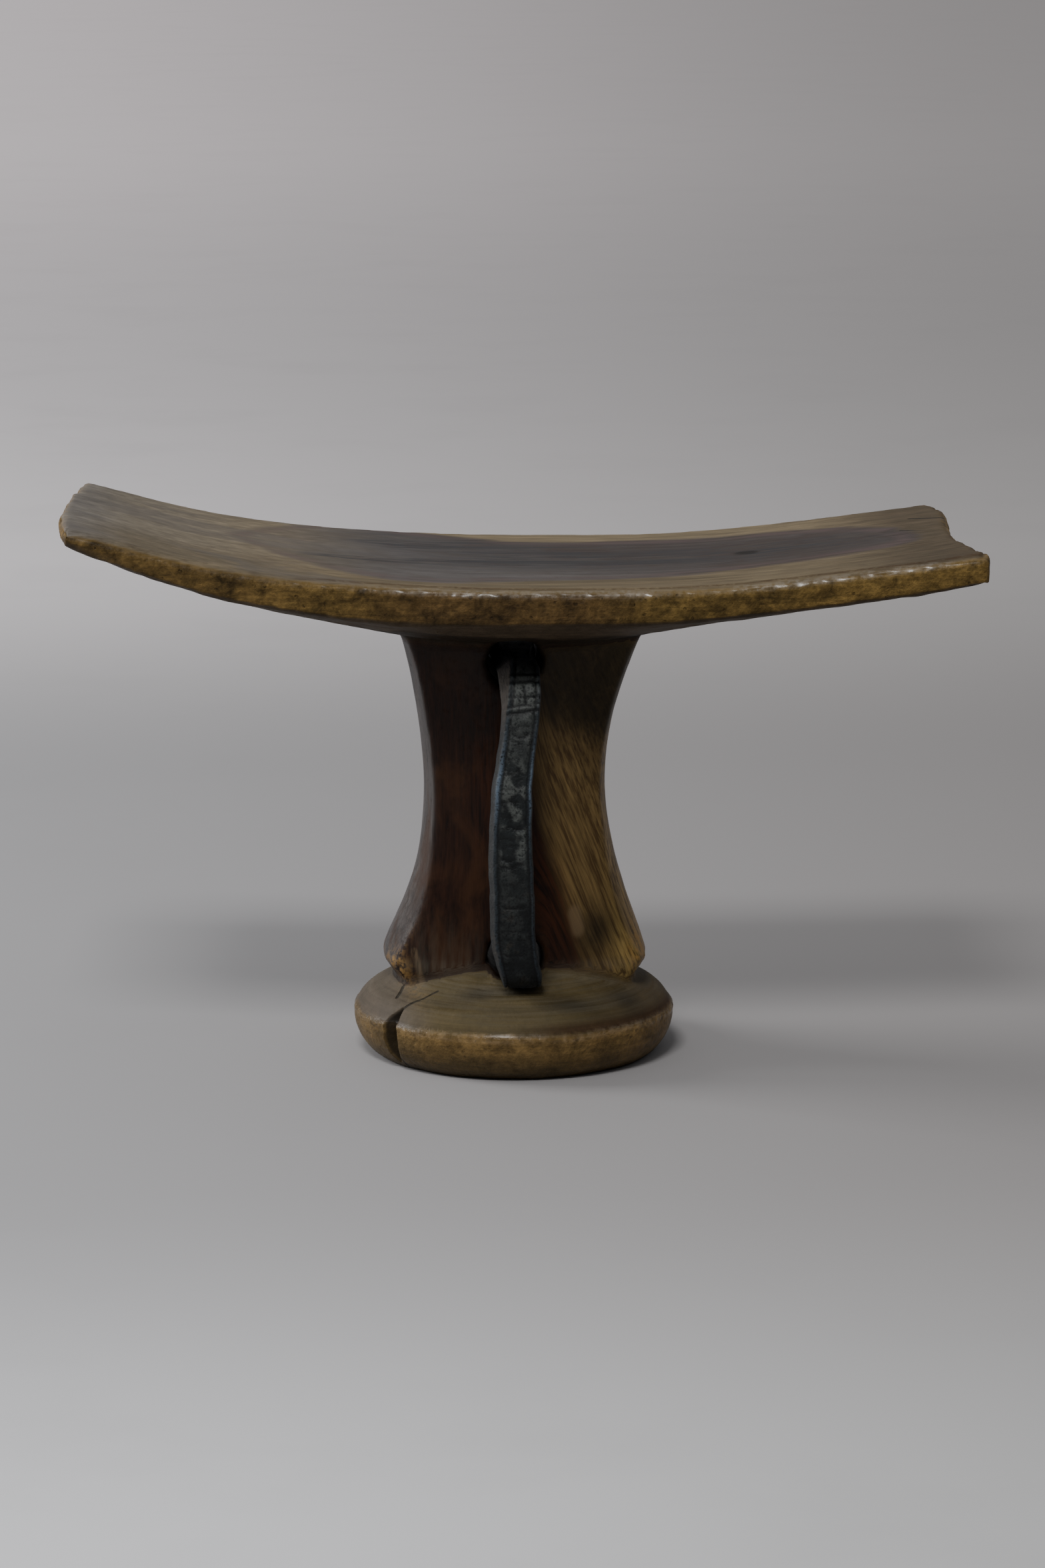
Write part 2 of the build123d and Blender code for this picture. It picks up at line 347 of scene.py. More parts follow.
# How glossy the rest's front edge is and how strongly a highlight is painted on it: x and share.
EDGE_GLOSS_AND_HIGHLIGHT = (
    (-110, 0.2), (-50, 0.25), (-32, 0.9), (34, 0.9), (40, 0.4), (56, 0.4), (64, 1), (116, 1), (124, 0.3),
)

# Colours, one for each region of the carving.
SAP_TOP = (0.203, 0.156, 0.092)
SAP_TOP_LEFT = (0.200, 0.168, 0.124)
# Painted grey sheen on the top where its rounded left end catches the light.
SAP_END_LEFT_SHEEN = (0.158, 0.148, 0.142)
SAP_TOP_FRONT = (0.130, 0.098, 0.056)
SAP_TOP_RIGHT = (0.066, 0.047, 0.028)
HEART_TOP = (0.095, 0.084, 0.080)
HEART_TOP_RIGHT = (0.060, 0.047, 0.044)
SAP_EDGE = (0.148, 0.094, 0.028)
SAP_EDGE_MIDDLE = (0.084, 0.049, 0.019)
HEART_EDGE = (0.080, 0.040, 0.018)
SAP_UNDER = (0.064, 0.046, 0.028)
HEART_UNDER = (0.024, 0.018, 0.011)
SAP_PILLAR = (0.118, 0.076, 0.029)
SAP_PILLAR_RIGHT = (0.205, 0.140, 0.047)
HEART_PILLAR = (0.0165, 0.0055, 0.0022)
# Painted grey sheen on the pillar's flanks, standing in for their grazing reflection of the bright left.
FLANK_SHEEN = (0.068, 0.060, 0.056)
FLANK_RIGHT = (0.260, 0.170, 0.065)
FOOT_TOP = (0.080, 0.059, 0.025)
FOOT_TOP_LEFT = (0.094, 0.074, 0.054)
FOOT_RIGHT = (0.050, 0.030, 0.014)
FOOT_FRINGE = (0.040, 0.018, 0.008)
FOOT_RIM = (0.186, 0.118, 0.043)
FOOT_UNDER = (0.078, 0.055, 0.024)


def split_place(x, y):
    """The distances across the split and outwards along it."""
    cosine, sine = math.cos(SPLIT_ANGLE), math.sin(SPLIT_ANGLE)
    return y * cosine - x * sine, x * cosine + y * sine


def near_split(place):
    across, along = split_place(place.x, place.y)
    return abs(across) < SPLIT_HALF_WIDTH + 1.7 and along > SPLIT_START - 5.9 and place.z < SPLIT_TOP


def near_front_edge(place):
    return place.y < -47.5 and place.z > 120


def body_surface():
    """The carved body's surface as an even mesh, without the CAD faces' borders."""
    work = put_in_scene("body_work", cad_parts["carved_body"].data.copy())
    seams = bmesh.new()
    seams.from_mesh(work.data)
    bmesh.ops.remove_doubles(seams, verts=seams.verts, dist=1e-6)
    seams.to_mesh(work.data)
    seams.free()
    remesh = work.modifiers.new("remesh", "REMESH")
    remesh.mode = "VOXEL"
    remesh.voxel_size = BODY_VOXEL * MM
    mesh = bpy.data.meshes.new_from_object(work.evaluated_get(bpy.context.evaluated_depsgraph_get()))
    bpy.data.objects.remove(work)
    finer = bmesh.new()
    finer.from_mesh(mesh)
    for near, times in ((near_front_edge, 1), (near_split, 2)):
        for _ in range(times):
            chosen = [e for e in finer.edges if all(near(v.co / MM) for v in e.verts)]
            bmesh.ops.subdivide_edges(finer, edges=chosen, cuts=1, use_grid_fill=True)
    bmesh.ops.triangulate(finer, faces=[f for f in finer.faces if len(f.verts) > 4])
    finer.to_mesh(mesh)
    finer.free()
    mesh.materials.clear()
    mesh.name = "body"
    return mesh


def blend_colours(shares):
    """A colour for each vertex from (share, colour) pairs, laid one over another."""
    colour = np.zeros((len(shares[0][0]), 3))
    for share, value in shares:
        colour = colour + share[:, None] * (np.array(value)[None, :] - colour)
    return colour


def build_body():
    mesh = body_surface()
    places, _, edges = read_mesh(mesh)
    places = relaxed(places, edges, 3, 0.4)
    write_places(mesh, places)
    places, normals, edges = read_mesh(mesh)
    normals = relaxed(normals, edges, 2)
    x, y, z = places.T
    up = normals[:, 2]
    radius, angle = np.hypot(x, y), np.arctan2(y, x)

    # Regions: the holes' walls, the rest, the foot, and the pillar between them.
    bore = np.zeros(len(x))
    for height, half_width, half_height in HOLES:
        across = np.hypot((x - HOLE_X) / half_width, (z - height) / half_height)
        bore = np.maximum(bore, ease(1.14, 1.04, across) * ease(26, 24, np.abs(y)))
    high = ease(112, 118, z)
    rest = np.maximum.reduce((
        ease(-0.35, -0.6, up) * high, ease(131, 134, z),
        ease(27, 31, np.abs(y)) * high, ease(41, 46, np.abs(x)) * high,
    ))
    rest = relaxed(rest * (1 - bore), edges, 2)
    foot = np.maximum(ease(19.5, 17.5, z), ease(0.2, 0.45, up) * ease(30, 28, z))
    foot = relaxed(foot * (1 - bore), edges, 1)
    pillar = np.clip(1 - rest - foot, 0, 1)
    top = rest * ease(0.62, 0.93, up)
    side = rest * ease(0.75, 0.35, np.abs(up))
    under = rest * ease(-0.35, -0.7, up)
    front = ease(0.3, 0.6, -normals[:, 1])

    # Edges stand out of a smoothed copy of the surface, and corners lie below it.
    standing = ((places - relaxed(places, edges, 10)) * normals).sum(axis=1)
    wear = relaxed(ease(0.10, 0.42, standing), edges, 1)
    corner = relaxed(ease(-0.08, -0.40, standing), edges, 2)

    # The rest's upper edges are rounded by handling.
    handled = relaxed(rest * ease(0.12, 0.40, up) * ease(0.92, 0.70, up), edges, 3)
    places = places + np.clip(2.2 * handled, 0, 0.9)[:, None] * (relaxed(places, edges, 12) - places)

    # The carver's and the years' marks, as distances along the normal.
    out = pillar * (0.20 * fractal(x / 9, y / 9, z / 42, 3) + 0.05 * fractal(x / 2.2, y / 2.2, z / 16, 5, 2))
    out += under * (0.32 * fractal(x / 16, y / 7, 0, 7) + 0.06 * fractal(x / 3, y / 2, 0, 8, 2))
    rough_side = side * (1 - 0.65 * ease(116, 124, np.abs(x)))
    out += rough_side * 0.20 * fractal(x / 7, y / 7, z / 4, 11)
    out += rough_side * 0.16 * fractal(x / 2.4, y / 2.4, z / 1.8, 13, 2)
    out += top * 0.12 * fractal(x / 42, y / 24, 0, 17, 2)
    out += foot * (
        0.14 * fractal(angle * 3, radius / 7, z / 9, 19)
        + 0.05 * fractal(angle * 5, radius / 1.6, 0, 23, 2)
    )
    lumps = fractal(x / 11, y / 11, z / 11, 29, 2)
    out -= wear * rest * 0.45 * ease(0.05, 0.7, fractal(x / 5, y / 4, z / 4, 31, 2))
    out -= wear * (1 - rest) * 0.30 * ease(0.1, 0.7, fractal(x / 4, y / 4, z / 4, 37, 2))
    out += side * wear * ease(10, 50, x) * ease(0.1, -0.3, up) * 0.5 * lumps
    blunted = rest * (0.5 + 0.5 * ease(-0.2, 0.5, up)) * ease(0.97, 0.8, up)
    out -= blunted * (0.2 * patch(x, y, (131, -52), (6, 7)) + 1.5 * patch(x, y, (-131, -52), (6, 7)))
    out += side * 1.3 * patch(x, y, (132, -53), (7, 7))
    # The broken edge left of the lower hole, and the scooped hollow below it on the foot.
    broken = patch(x, z, (-8.8, 31.0), (2.6, 6.5)) * ease(-15, -19, y)
    out -= broken * 0.9 * ease(-0.1, 0.6, fractal(x / 1.9, y / 3, z / 1.9, 41, 2))
    out -= foot * 0.55 * patch(x, y, (-6.5, -28.5), (6.0, 4.5), -25)
    over_ring = z - 13.4 - 0.35 * fractal(angle * 4, 0, 0, 83, 2)
    ring = np.exp(-(over_ring / 0.9) ** 2) * foot * ease(43, 45, radius)
    out += 0.42 * ring
    # The worn facet on the left front corner of the skirt, and the split's rough walls.
    tip = patch(x, z, (-33.8, 27.4), (6.5, 2.8), -50) * ease(-6, -12, y)
    out += tip * (0.12 * fractal(x / 2, y / 2, z / 4, 43, 2) - 0.35)
    across_split, along_split = split_place(x, y)
    places = places + normals * out[:, None]
    ragged = 0.28 * fractal(z / 3.2, across_split / 6, 0, 47, 2)
    bent = 1.5 * ease(46.5, 42.8, along_split) * ease(8, 14, z)
    half_width = SPLIT_HALF_WIDTH * (1 + 0.2 * ease(12, 3, z))
    opening = np.abs(across_split + ragged - bent) / half_width
    deepest = SPLIT_START + (FOOT_RADIUS - SPLIT_START) * np.clip(opening, 0, 1) ** 1.15
    low_foot = ease(SPLIT_TOP, SPLIT_TOP - 1, z) * (along_split > SPLIT_START - 2)
    pushed = np.clip(along_split - deepest, 0, None) * (opening < 1) * low_foot
    split = ease(0.25, 1.0, pushed)
    places[:, 0] -= pushed * math.cos(SPLIT_ANGLE)
    places[:, 1] -= pushed * math.sin(SPLIT_ANGLE)
    write_places(mesh, places)

    # Heartwood, as a distance inside its border, for the material to roughen.
    plan = inside_distance(x, y, softened(HEART_PLAN))
    plan -= 6 * ease(-50, -95, x)
    border = np.interp(z, *zip(*HEART_BORDER))
    behind = np.interp(z, (15, 60, 130), (2.0, 8.0, 16.0))
    turned = ease(-12, 14, y)
    column = border * (1 - turned) + behind * turned - x
    heart = plan * rest + pillar * column + foot * -9
    heart = np.where(rest * (1 - top) > 0.5, plan - 3.0 - 40 * ease(34, 56, np.abs(x)), heart)
    store(mesh, "heart", heart)
    store(mesh, "heart_share", 1 - 0.80 * ease(-30, -84, x) * top)
    swirls = [
        np.hypot((x - centre_x) / stretch, y - centre_y)
        for centre_x, centre_y, stretch in ((-50, -8, 3.6), (2, -8, 4.2), (68, 2.5, 4.4))
    ]
    store(mesh, "swirl", np.minimum.reduce(swirls))
    store_share(mesh, "core", top * patches(
        x, y, (1.0, (-46, -6), (22, 9)), (0.9, (8, -4), (30, 14)), (0.8, (66, 4), (44, 14)),
        (1.0, (-14, 28), (36, 14), -12),
    ))

    left = ease(-40, -120, x)
    right = ease(-30, 55, x + 0.9 * y)
    rim = foot * ease(14.6, 13.2, z + 0.5 * fractal(angle * 6, 0, 0, 103, 2))
    low = (0.85 - 0.4 * ease(10, 40, x)) * foot
    low = low * ease(9.5, 3.0, z + 1.8 * fractal(angle * 5, z / 6, 0, 97, 2))
    # The pillar's flanks; they get a painted grey sheen, golden on the right.
    flank = pillar * ease(0.72, 0.92, np.abs(normals[:, 0])) * 0.85
    fringe = foot * ease(13.6, 14.6, z) * ease(18.0, 15.2, z) * ease(-6, 16, x) * ease(5, -10, y)
    shiny_middle = side * ease(-62, -25, x) * ease(42, 15, x)
    everywhere = np.ones(len(x))
    # The grey at the top's left end is a painted sheen.
    store(mesh, "sap_colour", blend_colours((
        (everywhere, SAP_PILLAR), (pillar * ease(24, 34, x), SAP_PILLAR_RIGHT),
        (foot, FOOT_TOP), (foot * ease(-22, -38, x), FOOT_TOP_LEFT), (rim, FOOT_RIM), (low, FOOT_UNDER),
        (rim * ease(-18, -40, x) * 0.5, FOOT_UNDER), ((foot - 0.6 * rim) * ease(12, 42, x) * 0.5, FOOT_RIGHT),
        (fringe * 0.8, FOOT_FRINGE), (flank, FLANK_SHEEN), (ease(0, 14, x) * flank, FLANK_RIGHT),
        (rest, SAP_EDGE), (shiny_middle * 0.8, SAP_EDGE_MIDDLE),
        (side * ease(-50, -80, x) * 0.35, SAP_EDGE_MIDDLE), (under, SAP_UNDER),
        (top, SAP_TOP), (top * left, SAP_TOP_LEFT), (top * ease(-12, -38, y) * 0.7, SAP_TOP_FRONT),
        (top * ease(80, 118, x) * 0.9, SAP_TOP_RIGHT), (top * ease(-108, -128, x) * 0.6, SAP_END_LEFT_SHEEN),
    )))
    store(mesh, "heart_colour", blend_colours((
        (everywhere, HEART_PILLAR), (flank, FLANK_SHEEN), (rest, HEART_EDGE), (under, HEART_UNDER),
        (top, HEART_TOP), (top * right, HEART_TOP_RIGHT),
    )))

    # The grain's coordinates: slow along the fibres and quick across them.
    lean = 0.40 * ease(-4, 10, x) * pillar
    along_grain = rest * x / 15 + pillar * z / 15 + foot * angle * 2.2
    across_grain = rest * y + pillar * (x + lean * (z - 70)) + foot * radius * 1.3
    through_grain = rest * z + pillar * y + foot * z
    store(mesh, "grain", np.stack((along_grain, across_grain, through_grain), axis=1))

    # What has settled on, stained, lightened or polished the surface, and painted shadows, shade and
    # highlights.
    seam = ease(26.0, 28.0, z) * ease(31.5, 29.0, z) * pillar * front
    dust = top * 0.30 + foot * ease(0.4, 0.9, up) * 0.55 + corner * foot * 0.9 + seam * 0.5
    dust += foot * 0.8 * patch(x, y, (-6.5, -28.5), (5.5, 4.0), -25)
    dust += pillar * front * ease(46, 30, z) * 0.30 * ease(-12, -3, x) * ease(10, 4, x)
    dust += pillar * front * ease(48, 29, z) * 0.34 * ease(-8, -14, x) * ease(-35, -28, x)
    store_share(mesh, "dust", relaxed(dust, edges, 1))
    # Painted shadow of the strap's lower bend on the foot's top.
    strap_shadow = patch(x, y, (0.2, -31.5), (4.6, 2.6)) * foot
    stains = patches(
        x, y, (0.75, (15, -36), (9, 3.6), 8), (0.75, (30.5, -26.5), (6, 4.5), 40),
        (0.80, (-11.5, -31.5), (7.0, 3.0), -4), (0.40, (24, 20), (12, 8), 30), (0.45, (-20, 28), (9, 6), -30),
    ) * foot * ease(0.2, 0.5, up)
    # Painted shadow of the rest across the pillar's upper front.
    shaded = z - 102.0 + 0.5 * (x - 8.3) * ease(0, -14, y) + 1.5 * fractal(x / 9, y / 9, z / 9, 89, 2)
    shaded = ease(-5, 6, shaded) * pillar * (0.86 - 0.35 * ease(4, -8, x))
    blotches = patches(
        x, z, (0.85, (23, 38.5), (6.5, 8)), (0.45, (13, 30), (5, 7)), (0.6, (-9.4, 98.1), (1.4, 1.2)),
    ) * pillar * front
    lit_mouth = patch(x, z, (-8.4, 27.5), (3.6, 4.5)) * ease(-14, -20, y)
    # Real stains and blotches, painted shadows, painted shade inside the holes (less at the lower hole's
    # mouth), in the split and in corners, and darker towards the foot's bottom.
    stains_and_shade = strap_shadow * 0.9 + stains + bore * (0.9 - 0.75 * lit_mouth) + split * 0.85
    stains_and_shade += corner * (rest + pillar) * 0.5 + shaded + blotches + foot * ease(3.5, 0.5, z) * 0.5
    store_share(mesh, "stains_and_shade", stains_and_shade)
    ochre = tip * 0.6 + patch(x, z, (36.0, 33.0), (3.2, 9.0)) * pillar * ease(8, -2, y) * 0.9
    around_hole = np.hypot((x - HOLE_X) / 12, (z - HOLES[1][0]) / 11)
    ochre += wear * (rest * 0.30 + foot * 0.55 + pillar * ease(60, 30, z) * 0.5 * ease(1.0, 1.4, around_hole))
    store_share(mesh, "ochre", ochre)
    red = 0.8 * ease(9, 1, np.abs(column - 3.5)) * ease(75, 55, z) + 0.45 * patch(x, z, (-9, 84), (3.5, 22))
    store_share(mesh, "red", pillar * red)
    arris = rest * ease(0.05, 0.38, up) * ease(0.94, 0.74, up)
    # Painted highlights along the rest's front edge and on the front of the foot's ring.
    bright = np.interp(x, *zip(*EDGE_GLOSS_AND_HIGHLIGHT))
    lit_ring = 0.55 * ring * ease(5, -5, y) * ease(-40, -25, x) * ease(42, 34, x)
    store_share(mesh, "painted_highlight", arris * bright + lit_ring)
    store(mesh, "gloss", np.clip(pillar * 0.55 + 1.3 * arris * bright + rim * 0.45 + 1.4 * ring, 0, 1.4))
    line = top * ease(0.995, 0.97, up) * ease(0.90, 0.94, up) * ease(-38, -44, y) * ease(-70, -45, x)
    store_share(mesh, "brown_line", relaxed(line, edges, 1))
    store_share(mesh, "knot", ease(1.3, 0.75, np.hypot((x - 68) / 3.4, (y - 2.5) / 3.0)) * top)
    store_share(mesh, "mottle", side + under * 0.4 + rim * 0.75 + 0.3 * tip + 0.30 * foot * up)
    store(mesh, "top", top)
    store_share(mesh, "streaks", pillar * (1 - 0.65 * shaded) + 0.25 * rest)

    mesh.shade_smooth()
    body = put_in_scene("body", mesh)
    mesh.materials.append(wood_material())
    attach(body, "headrest")
    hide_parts("carved_body")
    return body


def wood_material():
    g = Graph("old_wood")
    millimetres = g.vector("MULTIPLY", g.node("TexCoord").outputs["Object"], (1 / MM,) * 3)
    grain = g.kept("grain", "Vector")
    heart_inside = g.kept("heart")
    top, dust, stains_and_shade, core = (g.kept(name) for name in ("top", "dust", "stains_and_shade", "core"))
    mottle, streaks = g.kept("mottle"), g.kept("streaks")

    def about_half(value, amount):
        return g.times(g.math("SUBTRACT", value, 0.5), amount)

    # Growth: broad bands, fibres, and a ragged border between sapwood and heartwood.
    bands = g.noise(grain, 0.22, 4, 0.55, 0.4)
    fibres = g.noise(grain, 0.95, 5, 0.62)
    fine = g.noise(g.vector("MULTIPLY", grain, (2.0, 3.2, 3.2)), 1.0, 3, 0.6)
    ragged = g.plus(heart_inside, about_half(bands, 9.0), about_half(fibres, 4.5))
    heart = g.times(g.span(ragged, -2.6, 2.6), g.kept("heart_share"))
    base = g.mix(heart, g.kept("sap_colour", "Color"), g.kept("heart_colour", "Color"))
    rings = g.math("SINE", g.plus(g.times(heart_inside, 1.0), g.times(bands, 18.0)))
    swirls = g.math("SINE", g.plus(g.times(g.kept("swirl"), 2.2), g.times(bands, 9.0)))
    light = g.times(
        g.plus(1.0, g.times(rings, 0.060, top)),
        g.plus(1.0, g.times(swirls, 0.085, top, core)),
        g.plus(1.0, g.times(about_half(fibres, 1.0), g.plus(0.55, g.times(streaks, 2.3))),
               g.times(about_half(fine, 1.0), g.plus(0.4, g.times(streaks, 0.8)))),
        g.plus(1.0, g.times(about_half(bands, 1.0), g.plus(0.85, g.times(top, 0.35)))),
    )

    # Blotches and pits where the surface is rough.
    blotches = g.noise(millimetres, 0.145, 5, 0.70, 0.5)
    specks = g.noise(millimetres, 0.62, 3, 0.6)
    pits = g.times(g.span(g.cells(millimetres, 0.36), 0.30, 0.12), g.span(specks, 0.50, 0.62), mottle)
    light = g.times(
        light, g.plus(1.0, g.times(mottle, about_half(blotches, 3.5))),
        g.plus(1.0, g.times(mottle, about_half(specks, 1.3))), g.plus(1.0, g.times(pits, -0.6)),
    )
    scaled = g.node("VectorMath", operation="SCALE")
    g.feed(base, scaled.inputs[0])
    g.feed(g.math("MAXIMUM", light, 0.12), scaled.inputs["Scale"])
    g.colour = scaled.outputs["Vector"]

    # Dark cores and violet borders of the heartwood, reddish heart, worn ochre, scar, stains and painted
    # shade.
    cores = g.times(core, g.span(g.plus(bands, about_half(fibres, 0.5)), 0.36, 0.62), heart)
    g.paint((0.033, 0.032, 0.036), g.math("MINIMUM", g.times(cores, 1.7), 0.90))
    flames = g.noise(g.vector("MULTIPLY", millimetres, (0.090, 0.090, 0.045)), 1.0, 4, 0.6, 0.6)
    flames = g.times(heart, streaks, g.span(flames, 0.44, 0.66))
    g.paint((0.046, 0.0175, 0.0055), flames, 0.70)
    weather = g.noise(g.vector("MULTIPLY", millimetres, (0.018, 0.05, 0.0)), 1.0, 4, 0.6, 0.8)
    leftward = g.span(g.vector("DOT_PRODUCT", millimetres, (1.0, 0.0, 0.0)), 0.0, -60.0)
    greyed = g.times(top, g.span(weather, 0.46, 0.62), leftward)
    g.paint((0.108, 0.096, 0.090), greyed, 0.45)
    violet = g.span(g.math("ABSOLUTE", g.plus(ragged, -4.5)), 5.0, 0.5)
    violet = g.times(top, violet, g.span(bands, 0.35, 0.6))
    g.paint((0.105, 0.068, 0.064), violet, 0.55)
    g.paint((0.075, 0.021, 0.007), g.kept("red"), g.span(fibres, 0.35, 0.6), 0.50)
    gaps = g.times(streaks, g.span(fibres, 0.52, 0.38), g.math("SUBTRACT", 1.0, heart))
    g.paint((0.052, 0.025, 0.009), gaps, g.math("SUBTRACT", 1.0, mottle), 0.55)
    worn = g.times(g.kept("ochre"), g.span(g.plus(specks, g.times(fibres, 0.6)), 0.66, 0.94))
    g.paint((0.290, 0.165, 0.048), worn)
    # Stains, with painted shadows and painted shade in the holes, split and corners.
    stained_and_shaded = g.times(stains_and_shade, g.span(blotches, 0.12, 0.55, 0.55, 0.95))
    g.paint((0.0070, 0.0055, 0.0036), stained_and_shaded)
    upright = g.vector("MULTIPLY", millimetres, (1.0, 0.0, 0.75))
    front_only = g.span(g.vector("DOT_PRODUCT", millimetres, (0.0, -1.0, 0.0)), 8.0, 14.0)
    scar = g.near_line(upright, (16.6, 0, 33.0), (17.5, 0, 30.0), 2.8)
    pale = g.near_line(upright, (-29.9, 0, 24.6), (-27.8, 0, 18.6), 1.3)
    scraped = g.plus(scar, g.times(pale, g.span(fibres, 0.3, 0.6)))
    g.paint((0.165, 0.112, 0.060), scraped, front_only, 0.55)
    checks = g.math("MAXIMUM", g.near_line(millimetres, (119.0, 27.6, 152.0), (129.5, 19.0, 153.5), 0.8),
                    g.near_line(millimetres, (114.0, 9.0, 151.5), (127.5, -1.6, 153.5), 0.6))
    cracked = g.times(g.math("MAXIMUM", g.kept("knot"), checks), top, 0.9)
    g.paint((0.010, 0.008, 0.008), cracked)
    plan = g.vector("MULTIPLY", millimetres, (1.0, 1.0, 0.0))
    hairs = g.near_line(plan, (-33.6, -27.4, 0), (-28.6, -26.6, 0), 0.60)
    hairs = g.math("MAXIMUM", hairs, g.near_line(plan, (-28.6, -26.6, 0), (-23.4, -25.6, 0), 0.45))
    hairs = g.math("MAXIMUM", hairs, g.near_line(plan, (-33.1, -15.6, 0), (-35.0, -20.8, 0), 0.7))
    hairs = g.times(hairs, g.span(g.vector("DOT_PRODUCT", millimetres, (0.0, 0.0, 1.0)), 26.0, 25.0))
    g.paint((0.007, 0.005, 0.003), hairs, 0.9)
    powder = g.times(dust, g.span(g.noise(grain, 0.55, 4, 0.6), 0.25, 0.75))
    g.paint((0.170, 0.150, 0.112), powder, 0.50)

    # Polish on the handled edges, and painted highlights along the rest's front edge and on the foot's ring.
    brown_line = g.times(g.kept("brown_line"), g.span(specks, 0.30, 0.55), 0.7)
    g.paint((0.050, 0.024, 0.009), brown_line)
    painted_highlight = g.kept("painted_highlight")
    # Painted highlight flecks.
    highlight_flecks = g.times(painted_highlight, g.span(g.plus(specks, g.times(fibres, 0.6)), 0.70, 0.92))
    g.paint((0.270, 0.240, 0.200), highlight_flecks, 0.34)
    shine = g.times(g.kept("gloss"), g.span(specks, 0.26, 0.50, 0.15, 1.0))
    roughness = g.plus(0.58, g.times(shine, -0.24), about_half(fibres, 0.18), g.times(powder, 0.14))
    coat = g.math("MINIMUM", g.times(shine, g.plus(0.12, g.times(painted_highlight, 0.9))), 1.0)
    g.feed(coat, g.shader.inputs["Coat Weight"])
    g.shader.inputs["Coat Roughness"].default_value = 0.24
    height = g.plus(
        g.times(fibres, g.plus(0.05, g.times(streaks, 0.10))), g.times(fine, 0.035),
        g.times(specks, mottle, g.plus(0.65, g.times(painted_highlight, -0.60))),
        g.times(blotches, mottle, g.plus(0.4, g.times(painted_highlight, -0.25))),
        g.times(pits, -0.30), g.times(hairs, -0.5), g.times(checks, top, -0.4),
    )
    g.bump(height, 1.0, 0.9)
    g.shader.inputs["Specular IOR Level"].default_value = 0.14
    return g.finish(roughness)


# ================================================================ the strap
# Its middle line from the end behind the pillar, through the upper hole, down the handle, through
# the lower hole and up again behind: y, z, then its left and right side, its thickness, and how
# wide the sloping raw cut shows on its left.
STRAP_ROUTE = (
    (29.3, 55, -6, 4.3, 3.2, 0.9), (29.4, 60, -6.6, 4.8, 3.8, 0.9), (29.4, 72, -6.5, 4.9, 3.9, 0.8),
    (29.3, 86, -6.6, 4.7, 3.9, 0.9), (29.1, 98, -6.5, 4.7, 3.9, 0.9), (28.2, 109, -6.5, 4.8, 3.9, 1),
    (25.5, 115, -6.5, 4.8, 3.8, 1), (20.5, 117.2, -6.6, 5, 3.8, 1), (11, 118.2, -7.2, 6, 4.6, 1.2),
    (0, 118.7, -7.2, 6.2, 5.2, 1.8), (-9, 118.4, -6.9, 5.9, 4.8, 2.8), (-19, 117.7, -6.6, 5.2, 4.2, 4.4),
    (-24.5, 117.3, -6.5, 5.6, 4.1, 4.6), (-29.6, 116.3, -6.4, 6.1, 4, 4.2), (-33.4, 113, -6.2, 6.2, 4, 3.2),
    (-35.2, 107.5, -5.6, 5.8, 4, 1.8), (-36.3, 100.5, -6, 5, 4, 1.4), (-37.3, 92, -7.5, 3.9, 4, 1.4),
    (-38.3, 83, -8.7, 3.4, 4, 1.5), (-38.9, 72, -9.3, 3.4, 4, 1.5), (-38.8, 61, -9.5, 3.6, 4, 1.6),
    (-38.2, 50, -9.3, 4.2, 4, 1.6), (-37.8, 41, -8.9, 4.5, 4, 1.4), (-37.3, 34, -7.8, 5.4, 4, 1.4),
    (-35.5, 29, -6.4, 6.4, 4, 1.3), (-31.3, 27.1, -6, 6.3, 3.9, 1.3), (-26, 28.6, -6.3, 5.4, 3.8, 1.2),
    (-20.5, 30.6, -6.4, 4.9, 3.9, 1.2), (-10, 31.5, -6.5, 4.7, 3.9, 1), (12, 31.6, -6.5, 4.7, 3.9, 0.9),
    (20.8, 32, -6.5, 4.8, 3.8, 0.9), (24.4, 35, -6.5, 4.8, 3.8, 0.9), (25.2, 42, -6.5, 4.8, 3.9, 0.9),
    (25.2, 60, -6.6, 4.8, 3.9, 0.9), (25.2, 86, -6.5, 4.7, 3.9, 0.9), (25.2, 90.6, -6.1, 4.4, 3.4, 0.9),
)
STRAP_STEP = 0.55
OUTER_COUNT, RIGHT_COUNT, INNER_COUNT, LEFT_COUNT = 20, 6, 11, 8
STRAP_LAYERS_Y = (29.4, 25.2)       # the strap's two ends behind the pillar
STITCHES = (64.0, 73.0, 82.0)
STITCH_X = (HOLE_X - 2.9, HOLE_X + 2.9)


def groove(distance, width):
    """1 at the bottom of a groove, 0 beyond its width."""
    return ease(width, 0.15 * width, np.abs(distance))


